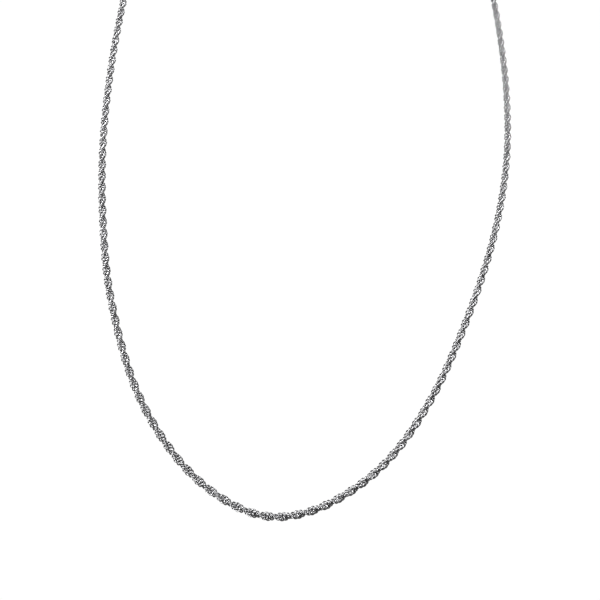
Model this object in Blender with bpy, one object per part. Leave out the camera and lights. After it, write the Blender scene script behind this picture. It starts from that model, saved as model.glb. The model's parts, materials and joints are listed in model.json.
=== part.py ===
"""A two-ply rope-chain necklace lying open on a flat surface, with its lobster clasp unhooked.

World frame: metres, Z up. The chain lies on Z = 0, its bend is at the low end of Y and its two arms run
towards +Y. The clasp is on the left arm (-X) and the ring that it hooks into is on the right arm (+X).

The rope is a run of short jointed lengths. Each joint is a hinge at the middle of the gap between two
lengths, and the joints bend sideways and up and down by turns, so that two of them make a universal joint.
"""

import math

import bmesh
import bpy
import numpy as np
from mathutils import Matrix, Vector

MM = 0.001
FULL_TURN = 2 * math.pi

# The rope: two plies twisted together, right-handed.
ROPE_DIAMETER = 2.5 * MM
HALF_TWIST = 4.35 * MM  # length along the rope in which the plies swap places
SEGMENTS = 45
HALF_TWISTS_PER_SEGMENT = 3
SEGMENT_LENGTH = HALF_TWISTS_PER_SEGMENT * HALF_TWIST
ROPE_LENGTH = SEGMENTS * SEGMENT_LENGTH
WAIST_SHARE = 0.58  # width across the valley between the plies, as a share of the diameter
ROPE_SIDES = 8
SLICES_PER_HALF_TWIST = 4
JOINT_GAP = 0.3 * MM
END_ROUNDING = 1.1 * MM
END_SLICES = (0.0, 0.12, 0.45, 1.0)  # places along the rounded end, as shares of END_ROUNDING

# Where the chain lies, in millimetres: from the left arm's end, round the bend, to the right arm's end.
ROUTE_MM = (
    (-58.3, 133.2), (-62.7, 108.2), (-66.1, 83.2), (-68.2, 59.2), (-69.1, 36.0), (-69.1, 8.2),
    (-67.4, -21.8), (-63.6, -49.8), (-56.7, -80.3), (-43.9, -111.5), (-28.4, -131.1), (-14.3, -140.1),
    (-4.3, -142.2), (5.8, -140.0), (16.9, -133.4), (29.2, -121.3), (41.9, -100.1), (54.1, -68.8),
    (63.3, -36.6), (68.1, -6.8), (69.0, 21.2), (67.5, 48.2), (64.3, 76.2), (60.3, 104.2), (55.1, 133.2),
)
ROUTE_SAMPLES = 4000

# The caps that the rope's ends are fixed into, each with a loop.
CAP_RADIUS = 1.5 * MM
CAP_BORE_RADIUS = 1.32 * MM
CAP_CUP_DEPTH = 3.0 * MM
CAP_LENGTH = 3.8 * MM
CAP_DOME = 0.5 * MM
# Points down the dome's side: shares of its height below the top, and of the cap's radius.
CAP_DOME_SHARES = ((1.0, 1.0), (0.3, 0.8), (0.0, 0.45))
CAP_FLOOR_GAP = 0.2 * MM  # between the rope's end and the bottom of the cup
LOOP_MAJOR = 1.15 * MM
LOOP_WIRE = 0.35 * MM
LOOP_PAST_CAP = LOOP_MAJOR + 0.75 * MM  # from the cap's closed end to its loop's centre
CAP_LOOP_CENTRE = CAP_FLOOR_GAP - CAP_CUP_DEPTH + CAP_LENGTH + LOOP_PAST_CAP  # from the rope's end
FITTING_HEIGHT = 1.5 * MM  # the height that the caps, loops and clasp are centred on
RISE_LENGTH = 20 * MM  # the rope climbs to the caps over this much of its ends

# The small ring between the left cap and the clasp, standing on edge.
JUMP_MAJOR = 1.9 * MM
JUMP_WIRE = 0.4 * MM
JUMP_HEIGHT = JUMP_MAJOR + JUMP_WIRE
JUMP_PAST_LOOP = 0.55 * MM  # from the cap loop's outer wire to the ring's centre
EYE_PAST_JUMP = 0.4 * MM  # from the ring's centre to the near wire of the clasp's eye

# The ring that the clasp hooks into, leaning from the right cap's loop down to the surface.
CATCH_MAJOR = 2.05 * MM
CATCH_WIRE = 0.45 * MM
CATCH_PAST_LOOP_CENTRE = 0.2 * MM

# The lobster clasp, measured from the centre of its eye towards its nose.
EYE_MAJOR = 1.35 * MM
EYE_WIRE = 0.45 * MM
CLASP_THICKNESS = 2 * FITTING_HEIGHT
BODY_CENTRE = 6.8 * MM
BODY_HALF_LENGTH = 5.3 * MM
BODY_HALF_WIDTH = 3.1 * MM
THROAT_CENTRE = 8.0 * MM
THROAT_HALF_LENGTH = 3.2 * MM
THROAT_HALF_WIDTH = 1.8 * MM
GATE_START = 5.1 * MM
GATE_SWEEP = 6.9 * MM  # the nose ends on this radius about the pin, so that the gate's tip can pass it
GATE_GAP = 0.2 * MM
GATE_THICKNESS = 2.4 * MM
GATE_DEPTH = 0.95 * MM  # the gate's own thickness across the clasp
GATE_INSET = 0.08 * MM  # from the body's outer curve
MOUTH_EDGE = 0.72 * MM  # from the clasp's middle to the cut that the gate closes
SLOT_BACK = 2.2 * MM
SLOT_FRONT = 6.1 * MM
SLOT_WIDTH = 1.3 * MM
TONGUE_WIDTH = 0.9 * MM
PIVOT = 3.7 * MM
PIVOT_RADIUS = 0.4 * MM
PIVOT_CLEARANCE = 0.08 * MM
HUB_RADIUS = 1.0 * MM
PIN_INSET = 0.02 * MM  # below each face of the clasp
# The lever's arm to its gate and its thumb tab: outlines along the clasp and across it.
LEVER_ARM_MM = ((3.4, -0.6), (5.2, -2.6), (6.3, -2.5), (6.1, -1.9), (4.6, 0.0))
LEVER_THUMB_MM = ((3.35, 0.3), (4.25, 0.3), (4.45, 3.6), (4.45, 4.1), (3.85, 4.25), (3.45, 3.8))
SPRING_COIL_RADIUS = 0.36 * MM
SPRING_WIRE_RADIUS = 0.1 * MM
SPRING_TURNS = 3
SPRING_SIDE = 1.3 * MM  # how far the spring sits from the pivot, on the thumb side
SPRING_LENGTH = 0.4 * MM
SPRING_GAP = 0.05 * MM  # between the coil and the back of the slot

STEEL = (0.62, 0.62, 0.63, 1.0)
SPRING_STEEL = (0.45, 0.45, 0.46, 1.0)


def clear_scene():
    for thing in list(bpy.data.objects):
        bpy.data.objects.remove(thing, do_unlink=True)


def make_material(name, colour, roughness):
    material = bpy.data.materials.new(name)
    material.use_nodes = True
    shader = material.node_tree.nodes["Principled BSDF"]
    shader.inputs["Base Color"].default_value = colour
    shader.inputs["Metallic"].default_value = 1.0
    shader.inputs["Roughness"].default_value = roughness
    return material


def add_object(name, mesh, material, matrix=Matrix.Identity(4)):
    thing = bpy.data.objects.new(name, mesh)
    bpy.context.scene.collection.objects.link(thing)
    thing.matrix_world = matrix
    mesh.materials.clear()
    mesh.materials.append(material)
    mesh.shade_smooth()
    mesh.set_sharp_from_angle(angle=math.radians(40))
    return thing


def mesh_from(name, points, faces):
    mesh = bpy.data.meshes.new(name)
    mesh.from_pydata(points, [], faces)
    mesh.update()
    return mesh


def bridged(name, loops, closed_ring=False):
    """One skin over equal loops of points. The two end loops are capped, or joined to each other."""
    sides = len(loops[0])
    points = [point for loop in loops for point in loop]
    rows = len(loops) if closed_ring else len(loops) - 1
    faces = []
    for row in range(rows):
        here, there = row * sides, (row + 1) % len(loops) * sides
        for side in range(sides):
            after = (side + 1) % sides
            faces.append((here + side, here + after, there + after, there + side))
    if not closed_ring:
        faces.append(tuple(reversed(range(sides))))
        faces.append(tuple(range(len(points) - sides, len(points))))
    return mesh_from(name, points, faces)


class Route:
    """The rope's centreline, as a smooth curve through ROUTE_MM, read by length from its left end."""

    def __init__(self):
        corners = np.array(ROUTE_MM) * MM
        chords = np.linalg.norm(np.diff(corners, axis=0), axis=1)
        knots = np.concatenate([[0.0], np.cumsum(np.sqrt(chords))])
        tangents = np.gradient(corners, knots, axis=0)
        at = np.linspace(0.0, knots[-1], ROUTE_SAMPLES)
        span = np.clip(np.searchsorted(knots, at, side="right") - 1, 0, len(knots) - 2)
        width = (knots[span + 1] - knots[span])[:, None]
        t = (at - knots[span])[:, None] / width
        self.points = (
            (2 * t**3 - 3 * t**2 + 1) * corners[span]
            + (t**3 - 2 * t**2 + t) * width * tangents[span]
            + (3 * t**2 - 2 * t**3) * corners[span + 1]
            + (t**3 - t**2) * width * tangents[span + 1]
        )
        steps = np.linalg.norm(np.diff(self.points, axis=0), axis=1)
        self.lengths = np.concatenate([[0.0], np.cumsum(steps)])
        self.start = (self.lengths[-1] - ROPE_LENGTH) / 2

    def place(self, along):
        """The centreline's point at this length from the rope's left end, with its height."""
        at = self.start + along
        x = np.interp(at, self.lengths, self.points[:, 0])
        y = np.interp(at, self.lengths, self.points[:, 1])
        from_end = min(along, ROPE_LENGTH - along)
        rise = 1 - min(max(from_end / RISE_LENGTH, 0.0), 1.0)
        lift = rise * rise * (3 - 2 * rise)
        low = ROPE_DIAMETER / 2
        return Vector((x, y, low + (FITTING_HEIGHT - low) * lift))

    def frame(self, along):
        """A matrix at this length: X along the rope, Y to its left, Z up."""
        step = 0.5 * MM
        forward = (self.place(along + step) - self.place(along - step)).normalized()
        left = Vector((0, 0, 1)).cross(forward).normalized()
        return framed(forward, left, self.place(along))


def framed(forward, left, origin):
    up = forward.cross(left)
    matrix = Matrix((forward, left, up)).transposed().to_4x4()
    matrix.translation = origin
    return matrix


def rope_outline(along, share):
    """The two-lobed section at this length, in the section's own plane, shrunk to a share of its size."""
    twist = math.pi * along / HALF_TWIST
    mean = ROPE_DIAMETER / 4 * (1 + WAIST_SHARE)
    swing = ROPE_DIAMETER / 4 * (1 - WAIST_SHARE)
    outline = []
    for side in range(ROPE_SIDES):
        angle = FULL_TURN * side / ROPE_SIDES
        radius = share * (mean + swing * math.cos(2 * (angle - twist)))
        outline.append((radius * math.cos(angle), radius * math.sin(angle)))
    return outline


def segment_slices():
    """(distance from the segment's near end, share of full size) of each slice, rounded at both ends."""
    first, last = JOINT_GAP / 2, SEGMENT_LENGTH - JOINT_GAP / 2
    near = []
    for place in END_SLICES:
        share = math.sqrt(max(1 - (1 - place) ** 2, 0.09))
        near.append((first + place * END_ROUNDING, share))
    far = [(SEGMENT_LENGTH - along, share) for along, share in reversed(near)]
    count = HALF_TWISTS_PER_SEGMENT * SLICES_PER_HALF_TWIST
    middle = []
    for index in range(1, count):
        along = index * SEGMENT_LENGTH / count
        if first + 1.3 * END_ROUNDING < along < last - 1.3 * END_ROUNDING:
            middle.append((along, 1.0))
    return near + middle + far


def rope_segments(route, material):
    for index in range(SEGMENTS):
        start = index * SEGMENT_LENGTH
        loops = []
        for along, share in segment_slices():
            place = route.frame(start + along)
            outline = rope_outline(start + along, share)
            loops.append([place @ Vector((0, across, up)) for across, up in outline])
        name = f"rope_{index + 1:02d}"
        add_object(name, bridged(name, loops), material)


def torus(name, major, wire, around=32, across=10):
    """A ring about Z, centred on the origin."""
    loops = []
    for turn in range(around):
        angle = FULL_TURN * turn / around
        out = Vector((math.cos(angle), math.sin(angle), 0))
        loop = []
        for side in range(across):
            tilt = FULL_TURN * side / across
            loop.append(out * (major + wire * math.cos(tilt)) + Vector((0, 0, -wire * math.sin(tilt))))
        loops.append(loop)
    return bridged(name, loops, closed_ring=True)


def turned(name, profile, sides=28):
    """A solid of revolution about X from a profile of (along, radius), which starts and ends on the axis."""
    build = bmesh.new()
    points = [build.verts.new((along, radius, 0)) for along, radius in profile]
    edges = [build.edges.new(pair) for pair in zip(points, points[1:])]
    bmesh.ops.spin(
        build, geom=points + edges, axis=(1, 0, 0), cent=(0, 0, 0), angle=FULL_TURN, steps=sides,
        use_merge=True,
    )
    bmesh.ops.remove_doubles(build, verts=build.verts, dist=1e-7)
    bmesh.ops.recalc_face_normals(build, faces=build.faces)
    mesh = bpy.data.meshes.new(name)
    build.to_mesh(mesh)
    build.free()
    return mesh


def prism(name, outline, low, high):
    """A flat outline of (x, y) points, counterclockwise, raised from low to high."""
    bottom = [(x, y, low) for x, y in outline]
    top = [(x, y, high) for x, y in outline]
    return bridged(name, [bottom, top])


def ellipse(centre, half_length, half_width, count=40):
    """Points round an ellipse whose centre is on X."""
    turns = [FULL_TURN * index / count for index in range(count)]
    return [(centre + half_length * math.cos(turn), half_width * math.sin(turn)) for turn in turns]


def arc(centre, radius, start, end, count):
    """Points on an arc about a centre on X, between two angles."""
    turns = [start + (end - start) * index / (count - 1) for index in range(count)]
    return [(centre + radius * math.cos(turn), radius * math.sin(turn)) for turn in turns]


def boolean(target, other, operation):
    """Joins or cuts one object with another, which then goes."""
    modifier = target.modifiers.new(operation.title(), "BOOLEAN")
    modifier.operation = operation
    modifier.object = other
    graph = bpy.context.evaluated_depsgraph_get()
    result = bpy.data.meshes.new_from_object(target.evaluated_get(graph))
    target.modifiers.clear()
    old = target.data
    target.data = result
    bpy.data.meshes.remove(old)
    bpy.data.objects.remove(other, do_unlink=True)


def scratch(mesh, matrix=Matrix.Identity(4)):
    thing = bpy.data.objects.new(mesh.name, mesh)
    bpy.context.scene.collection.objects.link(thing)
    thing.matrix_world = matrix
    bpy.context.view_layer.update()
    return thing


def finish(name, thing, material, matrix):
    """Turns a scratch object that was built at the origin into the named part, in its place."""
    mesh = thing.data
    bpy.data.objects.remove(thing, do_unlink=True)
    mesh.name = name
    add_object(name, mesh, material, matrix)


def add_cap(name, place, material, loop_upright):
    """A cup over the rope's end with a loop on its closed end. Its X runs out of the rope's end."""
    cup_floor = CAP_FLOOR_GAP
    cup_mouth = cup_floor - CAP_CUP_DEPTH
    cap_end = cup_mouth + CAP_LENGTH
    profile = (
        (cup_floor, 0.0),
        (cup_floor, CAP_BORE_RADIUS),
        (cup_mouth, CAP_BORE_RADIUS),
        (cup_mouth, CAP_RADIUS),
        *((cap_end - down * CAP_DOME, out * CAP_RADIUS) for down, out in CAP_DOME_SHARES),
        (cap_end, 0.0),
    )
    cap = scratch(turned(name, profile))
    neck_start = cap_end - CAP_DOME
    neck_end = cap_end + LOOP_PAST_CAP - LOOP_MAJOR
    neck_profile = ((neck_start, 0.0), (neck_start, LOOP_WIRE), (neck_end, LOOP_WIRE), (neck_end, 0.0))
    neck = scratch(turned("neck", neck_profile, sides=12))
    tilt = Matrix.Rotation(math.pi / 2, 4, "X") if loop_upright else Matrix.Identity(4)
    loop = scratch(torus("loop", LOOP_MAJOR, LOOP_WIRE), Matrix.Translation((CAP_LOOP_CENTRE, 0, 0)) @ tilt)
    boolean(cap, neck, "UNION")
    boolean(cap, loop, "UNION")
    finish(name, cap, material, place)


def side_band(start, end, count=14):
    """The gate's outline on the -Y side, following the body's outer curve from start to end."""
    outer, inner = [], []
    for index in range(count):
        along = start + (end - start) * index / (count - 1)
        out = BODY_HALF_WIDTH * math.sqrt(1 - ((along - BODY_CENTRE) / BODY_HALF_LENGTH) ** 2)
        outer.append((along, -out + GATE_INSET))
        inner.append((along, -out + GATE_INSET + GATE_DEPTH))
    return outer + list(reversed(inner))


def clasp_body(material, place):
    half = CLASP_THICKNESS / 2
    outline = ellipse(BODY_CENTRE, BODY_HALF_LENGTH, BODY_HALF_WIDTH, count=48)
    body = scratch(prism("body", outline, -half, half))
    eye = scratch(torus("eye", EYE_MAJOR, EYE_WIRE))
    boolean(body, eye, "UNION")
    throat_outline = ellipse(THROAT_CENTRE, THROAT_HALF_LENGTH, THROAT_HALF_WIDTH, count=36)
    throat = scratch(prism("throat", throat_outline, -2 * half, 2 * half))
    boolean(body, throat, "DIFFERENCE")
    far = 2 * BODY_HALF_WIDTH
    nose = arc(PIVOT, GATE_SWEEP, math.asin(-far / GATE_SWEEP), math.asin(-MOUTH_EDGE / GATE_SWEEP), 16)
    mouth_outline = [(GATE_START, -far), *nose, (GATE_START, -MOUTH_EDGE)]
    mouth = scratch(prism("mouth", mouth_outline, -2 * half, 2 * half))
    boolean(body, mouth, "DIFFERENCE")
    slot = scratch(prism(
        "slot", ((SLOT_BACK, -far), (SLOT_FRONT, -far), (SLOT_FRONT, far), (SLOT_BACK, far)),
        -SLOT_WIDTH / 2, SLOT_WIDTH / 2
    ))
    boolean(body, slot, "DIFFERENCE")
    hole_radius = PIVOT_RADIUS + PIVOT_CLEARANCE
    hole = scratch(prism("hole", ellipse(PIVOT, hole_radius, hole_radius, count=20), -2 * half, 2 * half))
    boolean(body, hole, "DIFFERENCE")
    finish("clasp_body", body, material, place)


def clasp_lever(material, place):
    half = TONGUE_WIDTH / 2
    lever = scratch(prism("lever", ellipse(PIVOT, HUB_RADIUS, HUB_RADIUS, count=24), -half, half))
    arm = scratch(prism("arm", [(x * MM, y * MM) for x, y in LEVER_ARM_MM], -half, half))
    boolean(lever, arm, "UNION")
    tip = PIVOT + GATE_SWEEP
    gate = scratch(prism(
        "gate", side_band(GATE_START + GATE_GAP, tip), -GATE_THICKNESS / 2, GATE_THICKNESS / 2
    ))
    reach = GATE_SWEEP - GATE_GAP
    disc = scratch(prism("reach", ellipse(PIVOT, reach, reach, count=96), -GATE_THICKNESS, GATE_THICKNESS))
    boolean(gate, disc, "INTERSECT")
    boolean(lever, gate, "UNION")
    thumb = scratch(prism("thumb", [(x * MM, y * MM) for x, y in LEVER_THUMB_MM], -half, half))
    boolean(lever, thumb, "UNION")
    hole_radius = PIVOT_RADIUS + PIVOT_CLEARANCE
    hole = scratch(prism("hole", ellipse(PIVOT, hole_radius, hole_radius, count=20), -2 * half, 2 * half))
    boolean(lever, hole, "DIFFERENCE")
    finish("clasp_lever", lever, material, place)


def clasp_pin(material, place):
    half = CLASP_THICKNESS / 2 - PIN_INSET
    profile = ((-half, 0), (-half, PIVOT_RADIUS), (half, PIVOT_RADIUS), (half, 0))
    pin = scratch(turned("pin", profile, sides=20))
    upright = Matrix.Translation((PIVOT, 0, 0)) @ Matrix.Rotation(math.pi / 2, 4, "Y")
    finish("clasp_pin", pin, material, place @ upright)


def clasp_spring(material, place):
    """A short coil along the clasp, between the back of the slot and the lever's thumb side."""
    start = Vector((SLOT_BACK + SPRING_WIRE_RADIUS + SPRING_GAP, SPRING_SIDE, 0))
    loops = []
    steps = 12 * SPRING_TURNS
    for step in range(steps + 1):
        angle = FULL_TURN * SPRING_TURNS * step / steps
        out = Vector((0, math.cos(angle), math.sin(angle)))
        centre = start + out * SPRING_COIL_RADIUS + Vector((SPRING_LENGTH * step / steps, 0, 0))
        loop = []
        for side in range(6):
            tilt = FULL_TURN * side / 6
            loop.append(centre + SPRING_WIRE_RADIUS * (out * math.cos(tilt) - Vector((math.sin(tilt), 0, 0))))
        loops.append(loop)
    spring = scratch(bridged("spring", loops))
    finish("clasp_spring", spring, material, place)


def left_end(route, steel, spring_steel):
    """The left arm's cap, the jump ring and the clasp, in line with the rope's end."""
    rope = route.frame(0.0)
    forward = Vector((-rope.col[0].x, -rope.col[0].y, 0)).normalized()
    left = Vector((0, 0, 1)).cross(forward)
    end = framed(forward, left, route.place(0.0))
    add_cap("end_cap_left", end, steel, loop_upright=False)
    loop_outer = CAP_LOOP_CENTRE + LOOP_MAJOR
    jump_centre = loop_outer + JUMP_PAST_LOOP
    raised = Matrix.Translation((jump_centre, 0, JUMP_HEIGHT - FITTING_HEIGHT))
    on_edge = Matrix.Rotation(math.pi / 2, 4, "X")
    add_object("jump_ring", torus("jump_ring", JUMP_MAJOR, JUMP_WIRE), steel, end @ raised @ on_edge)
    clasp = end @ Matrix.Translation((jump_centre + EYE_PAST_JUMP + EYE_MAJOR, 0, 0))
    clasp_body(steel, clasp)
    clasp_lever(steel, clasp)
    clasp_pin(steel, clasp)
    clasp_spring(spring_steel, clasp)


def right_end(route, steel):
    """The right arm's cap and the ring that the clasp hooks into."""
    rope = route.frame(ROPE_LENGTH)
    forward = Vector((rope.col[0].x, rope.col[0].y, 0)).normalized()
    left = Vector((0, 0, 1)).cross(forward)
    end = framed(forward, left, route.place(ROPE_LENGTH))
    add_cap("end_cap_right", end, steel, loop_upright=True)
    near_wire = Matrix.Translation((CAP_LOOP_CENTRE + CATCH_PAST_LOOP_CENTRE, 0, 0))
    drop = math.asin((FITTING_HEIGHT - CATCH_WIRE) / (2 * CATCH_MAJOR))
    lean = Matrix.Rotation(drop, 4, "Y") @ Matrix.Translation((CATCH_MAJOR, 0, 0))
    add_object("catch_ring", torus("catch_ring", CATCH_MAJOR, CATCH_WIRE), steel, end @ near_wire @ lean)


def main():
    clear_scene()
    steel = make_material("polished_steel", STEEL, 0.2)
    spring_steel = make_material("spring_steel", SPRING_STEEL, 0.35)
    route = Route()
    rope_segments(route, steel)
    left_end(route, steel, spring_steel)
    right_end(route, steel)


main()
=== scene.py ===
"""The looks of a two-ply rope-chain necklace: the rope's wire rings, its fittings, steel, floor and light.

World frame: metres, Z up, the chain lies on Z = 0 with its bend at the low end of Y.
"""

import json
import math

import bmesh
import bpy
import numpy as np
from mathutils import Matrix, Vector

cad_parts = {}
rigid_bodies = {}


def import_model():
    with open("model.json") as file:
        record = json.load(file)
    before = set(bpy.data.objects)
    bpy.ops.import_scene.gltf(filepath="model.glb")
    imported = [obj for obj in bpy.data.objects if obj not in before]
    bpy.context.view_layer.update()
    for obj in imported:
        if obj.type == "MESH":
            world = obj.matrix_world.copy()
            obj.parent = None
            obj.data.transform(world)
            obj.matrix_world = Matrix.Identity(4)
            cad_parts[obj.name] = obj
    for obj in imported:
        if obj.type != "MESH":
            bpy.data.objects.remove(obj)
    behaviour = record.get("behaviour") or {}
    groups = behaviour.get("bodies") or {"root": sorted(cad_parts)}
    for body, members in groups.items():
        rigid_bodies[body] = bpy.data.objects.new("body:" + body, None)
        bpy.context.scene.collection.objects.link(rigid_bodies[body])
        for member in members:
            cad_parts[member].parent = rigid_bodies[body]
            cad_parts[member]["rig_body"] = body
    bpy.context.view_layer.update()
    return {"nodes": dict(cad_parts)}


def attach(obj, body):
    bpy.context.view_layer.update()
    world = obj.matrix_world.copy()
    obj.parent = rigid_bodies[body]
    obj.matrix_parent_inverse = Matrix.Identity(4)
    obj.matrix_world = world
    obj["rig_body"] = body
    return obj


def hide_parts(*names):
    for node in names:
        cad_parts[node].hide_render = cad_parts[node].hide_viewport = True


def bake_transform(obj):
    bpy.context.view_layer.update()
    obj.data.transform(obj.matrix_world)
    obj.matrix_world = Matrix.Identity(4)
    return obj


MM = 0.001
FULL_TURN = 2 * math.pi

# The rope's measures and route, the same as the CAD part's.
ROPE_DIAMETER = 2.5 * MM
HALF_TWIST = 4.35 * MM
SEGMENTS = 45
SEGMENT_LENGTH = 3 * HALF_TWIST
ROPE_LENGTH = SEGMENTS * SEGMENT_LENGTH
FITTING_HEIGHT = 1.5 * MM
RISE_LENGTH = 20 * MM
ROUTE_MM = (
    (-58.3, 133.2), (-62.7, 108.2), (-66.1, 83.2), (-68.2, 59.2), (-69.1, 36.0), (-69.1, 8.2),
    (-67.4, -21.8), (-63.6, -49.8), (-56.7, -80.3), (-43.9, -111.5), (-28.4, -131.1), (-14.3, -140.1),
    (-4.3, -142.2), (5.8, -140.0), (16.9, -133.4), (29.2, -121.3), (41.9, -100.1), (54.1, -68.8),
    (63.3, -36.6), (68.1, -6.8), (69.0, 21.2), (67.5, 48.2), (64.3, 76.2), (60.3, 104.2), (55.1, 133.2),
)
ROUTE_SAMPLES = 4000
TANGENT_STEP = 0.5 * MM

# The wire rings that the two plies are made of.
RING_PITCH = 0.435 * MM  # between neighbouring rings of a family, which belong to the two plies by turns
PLY_OFFSET = 0.53 * MM  # from the rope's line to each ply's
# Each family of rings: half-width across the ply, radius of its wire, and slant from square across the ply.
RING_FAMILIES = ((0.55 * MM, 0.20 * MM, math.radians(-40)), (0.28 * MM, 0.22 * MM, math.radians(-40)))
RING_SIDES = 24
WIRE_SIDES = 8
FIRST_RING = 0.75 * MM  # from the rope's end, inside its cap

# The end fittings, the same as the CAD part's.
CAP_RADIUS = 1.5 * MM
LOOP_CENTRE = 2.9 * MM
LOOP_MAJOR = 1.15 * MM
JUMP_PAST_LOOP = 0.55 * MM
EYE_PAST_JUMP = 0.4 * MM
EYE_MAJOR = 1.35 * MM
BODY_CENTRE = 6.8 * MM
BODY_HALF_LENGTH = 5.3 * MM
BODY_HALF_WIDTH = 3.1 * MM
EYE_END = 1.6 * MM  # the clasp's faces are domed past its eye
EYE_FADE = 1.2 * MM
DOME_SHARE = 0.45  # of its thickness that the clasp loses at the rim

# How each fitting is rounded: voxel size in millimetres, and rounds of smoothing.
CAP_POLISH = (0.045, 4)
BODY_POLISH = (0.06, 26)
LEVER_POLISH = (0.05, 16)
PIN_POLISH = (0.03, 4)
SMOOTHING = 0.5
GROOVES_MM = (-2.25, -1.85, 0.35)  # along the cap, from the rope's end outwards
GROOVE_WIDTH_MM = 0.09
GROOVE_DEPTH = 0.05  # as a share of the cap's radius
CAP_OUTSIDE = 0.93  # share of the radius past which a point is on the cap's outside

# The two loose rings: radius, radius of the wire, and the angle at which the wire's ends meet.
JUMP_RING = (1.9 * MM, 0.4 * MM, 2.2)
CATCH_RING = (2.05 * MM, 0.45 * MM, 0.9)
LOOSE_RING_STEPS = 96
LOOSE_RING_SIDES = 20
SEAM_HALF_ANGLE = 0.012
SEAM_SHARP_ANGLE = math.radians(50)

# Each steel: darkest and brightest tone, lowest and highest roughness, and its grain's size and height in
# millimetres.
ROPE_STEEL = ((0.45, 0.45, 0.46), (0.62, 0.62, 0.63), 0.16, 0.28, 0.08, 0.005)
FITTING_STEEL = ((0.66, 0.66, 0.67), (0.76, 0.76, 0.77), 0.20, 0.34, 0.10, 0.004)
SPRING_STEEL = ((0.32, 0.32, 0.33), (0.45, 0.45, 0.46), 0.24, 0.38, 0.05, 0.004)
TONE_PATCH_MM = 1.6
ROUGHNESS_PATCH_MM = 0.5
BUMP_STRENGTH = 0.35
NOISE_LOW, NOISE_HIGH = 0.3, 0.7  # the part of the noise's range that is used

# The floor's profile: distance from the middle and height, in metres.
FLOOR_PROFILE = ((0.6, 0.0), (1.6, 0.0), (2.6, 0.0), (3.0, 0.08), (3.3, 0.3), (3.45, 0.7), (3.5, 1.2))
FLOOR_SIDES = 96
FLOOR_GLOW = 1.02
FLOOR_DROP = 170 * MM
WORLD_GLOW = 0.14
SOFTBOX_TARGET = (0, -0.06, 0)
# Each softbox: name, place, width and height, power.
SOFTBOXES = (
    ("back_box", (-0.25, 0.6, 1.12), (0.7, 0.6), 15),
    ("left_box", (-1.2, -0.1, 0.6), (0.6, 0.5), 11),
    ("right_box", (1.0, 0.3, 0.7), (0.4, 0.4), 4),
)

CAMERA_RIGHT = (0.9873, 0.0582, 0.1474)
CAMERA_UP = (-0.1234, 0.8660, 0.4843)
CAMERA_FORWARD = (0.0995, 0.4964, -0.8623)
CAMERA_PLACE_MM = (-35.0, -247.9, 306.65)
CAMERA_LENS_MM = 68.856
CAMERA_SENSOR_MM = 36.0
CAMERA_CLIP = (0.01, 20)


class Route:
    """The rope's centreline, as a smooth curve through ROUTE_MM, read by length from its left end."""

    def __init__(self):
        corners = np.array(ROUTE_MM) * MM
        chords = np.linalg.norm(np.diff(corners, axis=0), axis=1)
        knots = np.concatenate([[0.0], np.cumsum(np.sqrt(chords))])
        tangents = np.gradient(corners, knots, axis=0)
        at = np.linspace(0.0, knots[-1], ROUTE_SAMPLES)
        span = np.clip(np.searchsorted(knots, at, side="right") - 1, 0, len(knots) - 2)
        width = (knots[span + 1] - knots[span])[:, None]
        t = (at - knots[span])[:, None] / width
        self.points = (
            (2 * t**3 - 3 * t**2 + 1) * corners[span]
            + (t**3 - 2 * t**2 + t) * width * tangents[span]
            + (3 * t**2 - 2 * t**3) * corners[span + 1]
            + (t**3 - t**2) * width * tangents[span + 1]
        )
        steps = np.linalg.norm(np.diff(self.points, axis=0), axis=1)
        self.lengths = np.concatenate([[0.0], np.cumsum(steps)])
        self.start = (self.lengths[-1] - ROPE_LENGTH) / 2

    def places(self, along):
        """The centreline's points at these lengths from the rope's left end, with their heights."""
        at = self.start + along
        x = np.interp(at, self.lengths, self.points[:, 0])
        y = np.interp(at, self.lengths, self.points[:, 1])
        from_end = np.minimum(along, ROPE_LENGTH - along)
        rise = 1 - np.clip(from_end / RISE_LENGTH, 0.0, 1.0)
        low = ROPE_DIAMETER / 2
        z = low + (FITTING_HEIGHT - low) * rise * rise * (3 - 2 * rise)
        return np.stack([x, y, z], axis=1)

    def frames(self, along):
        """At these lengths: the points, and unit vectors forward, to the left and up."""
        forward = self.places(along + TANGENT_STEP) - self.places(along - TANGENT_STEP)
        forward /= np.linalg.norm(forward, axis=1, keepdims=True)
        left = np.cross([0.0, 0.0, 1.0], forward)
        left /= np.linalg.norm(left, axis=1, keepdims=True)
        return self.places(along), forward, left, np.cross(forward, left)


def ring_grid():
    """Angles round a ring and round its wire, and the quads of one ring."""
    around = np.arange(RING_SIDES) * FULL_TURN / RING_SIDES
    across = np.arange(WIRE_SIDES) * FULL_TURN / WIRE_SIDES
    here = np.arange(RING_SIDES)[:, None] * WIRE_SIDES
    there = (np.arange(RING_SIDES)[:, None] + 1) % RING_SIDES * WIRE_SIDES
    side = np.arange(WIRE_SIDES)[None, :]
    after = (side + 1) % WIRE_SIDES
    quads = np.stack([here + side, here + after, there + after, there + side], axis=2)
    return around, across, quads.reshape(-1, 4)


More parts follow.
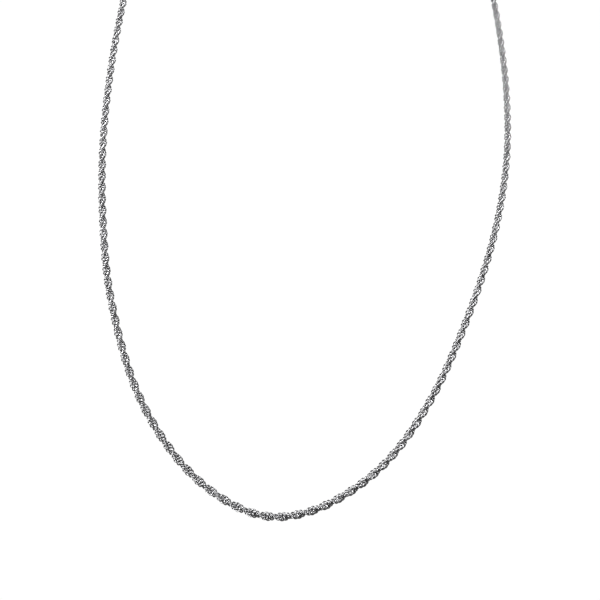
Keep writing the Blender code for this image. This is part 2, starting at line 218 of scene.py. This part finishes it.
def ring_points(route, along, ply, family, around, across):
    """The points of every ring: shape (rings, RING_SIDES, WIRE_SIDES, 3)."""
    radius, wire, slant = family
    centre, forward, left, up = route.frames(along)
    phase = math.pi * along / HALF_TWIST + math.pi * ply
    cosine, sine = np.cos(phase)[:, None], np.sin(phase)[:, None]
    outward = cosine * left + sine * up
    sideways = -sine * left + cosine * up
    lay = math.atan(math.pi * PLY_OFFSET / HALF_TWIST)
    along_ply = math.cos(lay) * forward + math.sin(lay) * sideways
    across_ply = np.cross(along_ply, outward)
    major = math.cos(slant) * across_ply + math.sin(slant) * along_ply
    normal = np.cross(major, outward)
    centre = centre + PLY_OFFSET * outward
    stretch = 1 / math.cos(slant)
    spoke = (
        np.cos(around)[None, :, None] * outward[:, None, :]
        + stretch * np.sin(around)[None, :, None] * major[:, None, :]
    )
    spoke_length = np.linalg.norm(spoke, axis=2, keepdims=True)
    outer = spoke / spoke_length
    bend = wire * np.cos(across)
    return (
        centre[:, None, None, :]
        + radius * spoke[:, :, None, :]
        + outer[:, :, None, :] * bend[None, None, :, None]
        + normal[:, None, None, :] * (wire * np.sin(across))[None, None, :, None]
    )


def add_object(name, data):
    thing = bpy.data.objects.new(name, data)
    bpy.context.scene.collection.objects.link(thing)
    return thing


def mesh_object(name, points, faces, material):
    mesh = bpy.data.meshes.new(name)
    mesh.from_pydata(points, [], faces)
    mesh.update()
    mesh.shade_smooth()
    mesh.materials.append(material)
    return add_object(name, mesh)


def add_rope(route, material):
    """Every ring of the rope, in one piece for each joint and half a piece at each end."""
    span = ROPE_LENGTH - 2 * FIRST_RING
    count = int(span / RING_PITCH)
    around, across, quads = ring_grid()
    alongs, grids = [], []
    for order, family in enumerate(RING_FAMILIES):
        along = FIRST_RING + (np.arange(count) + 0.5 + order) * span / (count + len(RING_FAMILIES))
        alongs.append(along)
        grids.append(ring_points(route, along, np.arange(count) % 2, family, around, across))
    along, points = np.concatenate(alongs), np.concatenate(grids)
    per_ring = RING_SIDES * WIRE_SIDES
    owner = np.floor(along / SEGMENT_LENGTH + 0.5).astype(int)
    for piece in range(SEGMENTS + 1):
        mine = points[owner == piece].reshape(-1, 3)
        rings = len(mine) // per_ring
        faces = (np.arange(rings)[:, None, None] * per_ring + quads[None]).reshape(-1, 4)
        rope = mesh_object(f"rope_rings_{piece:02d}", mine.tolist(), faces.tolist(), material)
        before = f"rope_{piece:02d}"
        after = f"rope_{piece + 1:02d}"
        if piece == 0:
            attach(rope, after)
            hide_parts(after)
        elif piece == SEGMENTS:
            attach(rope, before)
            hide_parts(before)
        else:
            joint, forward, _, _ = route.frames(np.array([piece * SEGMENT_LENGTH]))
            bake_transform(rope)
            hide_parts(before, after)


def end_frame(route, along, outwards):
    """A rope end's own frame: X level and out of the rope, Y to its left, Z up."""
    centre, forward, _, _ = route.frames(np.array([along]))
    direction = Vector((*(outwards * forward[0, :2]), 0)).normalized()
    left = Vector((0, 0, 1)).cross(direction)
    matrix = Matrix((direction, left, direction.cross(left))).transposed().to_4x4()
    matrix.translation = Vector(centre[0])
    return matrix


def evaluated(thing):
    """The object's mesh with its modifiers applied."""
    graph = bpy.context.evaluated_depsgraph_get()
    mesh = bpy.data.meshes.new_from_object(thing.evaluated_get(graph))
    old = thing.data
    thing.modifiers.clear()
    thing.data = mesh
    bpy.data.meshes.remove(old)
    return mesh


def stand_in(node, name, material):
    """A copy of a CAD node's shape to be worked on, in the given material, with the node itself hidden."""
    piece = add_object(name, node.data.copy())
    piece.data.materials.clear()
    piece.data.materials.append(material)
    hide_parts(node.name)
    return piece


def polish(piece, voxel_mm, rounds, place=None):
    """Rounds every edge, as tumbling does, after doming the faces if the clasp's place is given."""
    piece.data.transform(Matrix.Scale(1 / MM, 4))
    remesh = piece.modifiers.new("Voxels", "REMESH")
    remesh.mode = "VOXEL"
    remesh.voxel_size = voxel_mm
    mesh = evaluated(piece)
    mesh.transform(Matrix.Scale(MM, 4))
    if place:
        dome(mesh, place)
    soften = piece.modifiers.new("Soften", "SMOOTH")
    soften.factor = SMOOTHING
    soften.iterations = rounds
    evaluated(piece).shade_smooth()


def dome(mesh, place):
    """Draws the clasp's two faces in towards the rim, as a cast clasp's are. Its eye stays round."""
    points = np.empty(3 * len(mesh.vertices))
    mesh.vertices.foreach_get("co", points)
    to_world, start = np.array(place.to_3x3()), np.array(place.translation)
    local = (points.reshape(-1, 3) - start) @ to_world
    along = (local[:, 0] - BODY_CENTRE) / BODY_HALF_LENGTH
    across = local[:, 1] / BODY_HALF_WIDTH
    rim = np.clip(along**2 + across**2, 0, 1)
    past_eye = np.clip((local[:, 0] - EYE_END) / EYE_FADE, 0, 1)
    local[:, 2] *= 1 - DOME_SHARE * rim**2 * past_eye
    mesh.vertices.foreach_set("co", (local @ to_world.T + start).ravel())


def groove(mesh, place):
    """Turns fine grooves into a cap's outside."""
    inverse = place.inverted()
    for vertex in mesh.vertices:
        local = inverse @ vertex.co
        if math.hypot(local.y, local.z) > CAP_OUTSIDE * CAP_RADIUS:
            depth = sum(math.exp(-(((local.x / MM - at) / GROOVE_WIDTH_MM) ** 2)) for at in GROOVES_MM)
            share = 1 - GROOVE_DEPTH * depth
            vertex.co = place @ Vector((local.x, local.y * share, local.z * share))


def split_ring(node, name, measures, material):
    """A round wire ring in the CAD ring's place, with the fine seam where its ends meet."""
    radius, wire, seam = measures
    points = np.array([v.co for v in node.data.vertices])
    centre = points.mean(axis=0)
    normal = np.linalg.svd(points - centre)[2][2]
    normal *= np.sign(normal[np.argmax(np.abs(normal))])
    first = np.array([0.0, 1.0, 0.0]) - normal[1] * normal
    first /= np.linalg.norm(first)
    second = np.cross(normal, first)
    start = seam + SEAM_HALF_ANGLE
    swept = FULL_TURN - 2 * SEAM_HALF_ANGLE
    turns = start + swept * np.arange(LOOSE_RING_STEPS + 1) / LOOSE_RING_STEPS
    out = np.cos(turns)[:, None] * first + np.sin(turns)[:, None] * second
    tilts = np.arange(LOOSE_RING_SIDES) * FULL_TURN / LOOSE_RING_SIDES
    grid = (
        centre
        + out[:, None, :] * (radius + wire * np.cos(tilts))[None, :, None]
        + normal[None, None, :] * (wire * np.sin(tilts))[None, :, None]
    )
    faces = []
    for step in range(LOOSE_RING_STEPS):
        here = step * LOOSE_RING_SIDES
        there = here + LOOSE_RING_SIDES
        for side in range(LOOSE_RING_SIDES):
            after = (side + 1) % LOOSE_RING_SIDES
            faces.append((here + side, here + after, there + after, there + side))
    last = LOOSE_RING_STEPS * LOOSE_RING_SIDES
    faces.append(tuple(reversed(range(LOOSE_RING_SIDES))))
    faces.append(tuple(range(last, last + LOOSE_RING_SIDES)))
    ring = mesh_object(name, grid.reshape(-1, 3).tolist(), faces, material)
    fix = bmesh.new()
    fix.from_mesh(ring.data)
    bmesh.ops.recalc_face_normals(fix, faces=fix.faces)
    fix.to_mesh(ring.data)
    fix.free()
    ring.data.set_sharp_from_angle(angle=SEAM_SHARP_ANGLE)
    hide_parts(node.name)
    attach(ring, node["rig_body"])


def add_fittings(route, nodes, fitting_steel, spring_steel):
    ends = {
        "left": end_frame(route, 0.0, -1),
        "right": end_frame(route, ROPE_LENGTH, 1),
    }
    for side, place in ends.items():
        node = nodes[f"end_cap_{side}"]
        cap = stand_in(node, f"cap_{side}", fitting_steel)
        polish(cap, *CAP_POLISH)
        groove(cap.data, place)
        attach(cap, node["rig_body"])
    eye = LOOP_CENTRE + LOOP_MAJOR + JUMP_PAST_LOOP + EYE_PAST_JUMP + EYE_MAJOR
    clasp = ends["left"] @ Matrix.Translation((eye, 0, 0))
    for name, settings, place in (
        ("clasp_body", BODY_POLISH, clasp),
        ("clasp_lever", LEVER_POLISH, clasp),
        ("clasp_pin", PIN_POLISH, None),
    ):
        piece = stand_in(nodes[name], f"{name}_cast", fitting_steel)
        polish(piece, *settings, place)
        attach(piece, nodes[name]["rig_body"])
    spring = stand_in(nodes["clasp_spring"], "clasp_spring_wire", spring_steel)
    spring.modifiers.new("Round", "SUBSURF").levels = 2
    evaluated(spring).shade_smooth()
    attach(spring, nodes["clasp_spring"]["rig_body"])
    split_ring(nodes["jump_ring"], "jump_ring_wire", JUMP_RING, fitting_steel)
    split_ring(nodes["catch_ring"], "catch_ring_wire", CATCH_RING, fitting_steel)


def steel(name, low, high, smooth, rough, grain_mm, grain_height_mm):
    """Polished steel: its brightness and roughness vary, with a fine grain in the surface."""
    material = bpy.data.materials.new(name)
    material.use_nodes = True
    nodes, links = material.node_tree.nodes, material.node_tree.links
    shader = nodes["Principled BSDF"]
    shader.inputs["Metallic"].default_value = 1.0
    place = nodes.new("ShaderNodeTexCoord").outputs["Object"]

    def noise(size_mm, detail):
        node = nodes.new("ShaderNodeTexNoise")
        node.inputs["Scale"].default_value = 1 / (size_mm * MM)
        node.inputs["Detail"].default_value = detail
        links.new(place, node.inputs["Vector"])
        return node.outputs["Fac"]

    def spread(value, start, end):
        node = nodes.new("ShaderNodeMapRange")
        node.inputs["From Min"].default_value = NOISE_LOW
        node.inputs["From Max"].default_value = NOISE_HIGH
        node.inputs["To Min"].default_value = start
        node.inputs["To Max"].default_value = end
        links.new(value, node.inputs["Value"])
        return node.outputs["Result"]

    tone = nodes.new("ShaderNodeMix")
    tone.data_type = "RGBA"
    tone.inputs["A"].default_value = (*low, 1)
    tone.inputs["B"].default_value = (*high, 1)
    links.new(spread(noise(TONE_PATCH_MM, 3), 0, 1), tone.inputs["Factor"])
    links.new(tone.outputs["Result"], shader.inputs["Base Color"])
    links.new(spread(noise(ROUGHNESS_PATCH_MM, 4), smooth, rough), shader.inputs["Roughness"])
    bump = nodes.new("ShaderNodeBump")
    bump.inputs["Strength"].default_value = BUMP_STRENGTH
    bump.inputs["Distance"].default_value = grain_height_mm * MM
    links.new(noise(grain_mm, 2), bump.inputs["Height"])
    links.new(bump.outputs["Normal"], shader.inputs["Normal"])
    return material


def glow(name, colour, strength):
    material = bpy.data.materials.new(name)
    material.use_nodes = True
    nodes, links = material.node_tree.nodes, material.node_tree.links
    nodes.clear()
    emission = nodes.new("ShaderNodeEmission")
    emission.inputs["Color"].default_value = (*colour, 1)
    emission.inputs["Strength"].default_value = strength
    out = nodes.new("ShaderNodeOutputMaterial")
    links.new(emission.outputs["Emission"], out.inputs["Surface"])
    return material


def add_floor():
    """A white sweep all round: a flat floor that curves up into a low wall. It glows evenly and takes no
    shadow, and it lies low enough to hide no part of a hanging arm."""
    points, faces = [], []
    for radius, height in FLOOR_PROFILE:
        for side in range(FLOOR_SIDES):
            turn = FULL_TURN * side / FLOOR_SIDES
            points.append((radius * math.cos(turn), radius * math.sin(turn), height))
    centre = len(points)
    points.append((0.0, 0.0, 0.0))
    for side in range(FLOOR_SIDES):
        after = (side + 1) % FLOOR_SIDES
        faces.append((centre, side, after))
        for row in range(len(FLOOR_PROFILE) - 1):
            here = row * FLOOR_SIDES
            there = here + FLOOR_SIDES
            faces.append((here + side, there + side, there + after, here + after))
    floor = mesh_object("floor", points, faces, glow("white_floor", (1, 1, 1), FLOOR_GLOW))
    floor.location.z = -FLOOR_DROP
    floor.visible_glossy = False


def add_softbox(name, place, size, power):
    light = bpy.data.lights.new(name, "AREA")
    light.shape = "RECTANGLE"
    light.size, light.size_y = size
    light.energy = power
    box = add_object(name, light)
    box.location = place
    box.rotation_euler = (Vector(SOFTBOX_TARGET) - Vector(place)).to_track_quat("-Z", "Y").to_euler()


def add_light():
    world = bpy.data.worlds.new("studio")
    bpy.context.scene.world = world
    world.use_nodes = True
    background = world.node_tree.nodes["Background"]
    background.inputs["Color"].default_value = (1, 1, 1, 1)
    background.inputs["Strength"].default_value = WORLD_GLOW
    for row in SOFTBOXES:
        add_softbox(*row)


def add_camera():
    backward = -Vector(CAMERA_FORWARD)
    matrix = Matrix((CAMERA_RIGHT, CAMERA_UP, backward)).transposed().to_4x4()
    matrix.translation = Vector(CAMERA_PLACE_MM) * MM
    data = bpy.data.cameras.new("camera")
    data.sensor_width = CAMERA_SENSOR_MM
    data.lens = CAMERA_LENS_MM
    data.clip_start, data.clip_end = CAMERA_CLIP
    camera = add_object("camera", data)
    camera.matrix_world = matrix
    bpy.context.scene.camera = camera


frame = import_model()
add_camera()
route = Route()
rope_steel = steel("rope_steel_look", *ROPE_STEEL)
fitting_steel = steel("fitting_steel_look", *FITTING_STEEL)
spring_steel = steel("spring_steel_look", *SPRING_STEEL)
add_rope(route, rope_steel)
add_fittings(route, frame["nodes"], fitting_steel, spring_steel)
add_floor()
add_light()
bpy.context.scene.view_settings.view_transform = "Standard"
